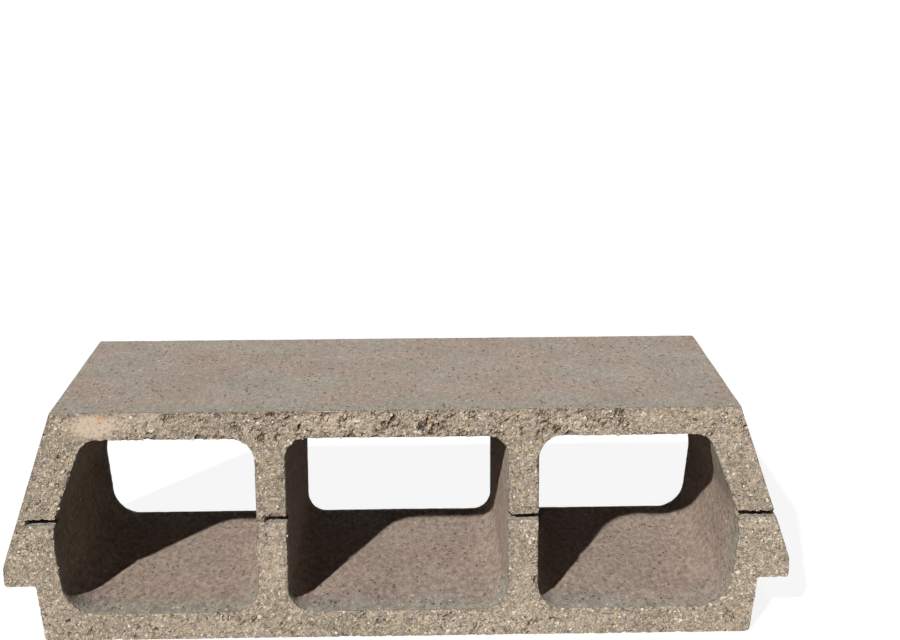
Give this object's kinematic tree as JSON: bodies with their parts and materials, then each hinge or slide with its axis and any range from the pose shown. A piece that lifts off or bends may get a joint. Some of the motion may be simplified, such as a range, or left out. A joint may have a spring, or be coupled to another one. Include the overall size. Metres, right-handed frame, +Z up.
{
  "type": "concrete floor infill block",
  "caption": "Hollow concrete infill block for a beam-and-block floor, with open cells through it and a lug along each end that rests on a joist.",
  "frame": {"origin": "centre of the flat soffit, halfway along the block's length and depth", "axes": "+X along the length from one joist lug to the other, +Y along the cells from the rough front face with the core bar slots to the back, +Z up towards the top slab"},
  "size_m": [0.53, 0.2, 0.16],
  "materials": {
    "concrete": "vibrated dry-mix concrete, matt, grey-buff, with pale grit showing on its rough front face"
  },
  "bodies": {
    "root": {"infill_block": "concrete"}
  },
  "joints": []
}
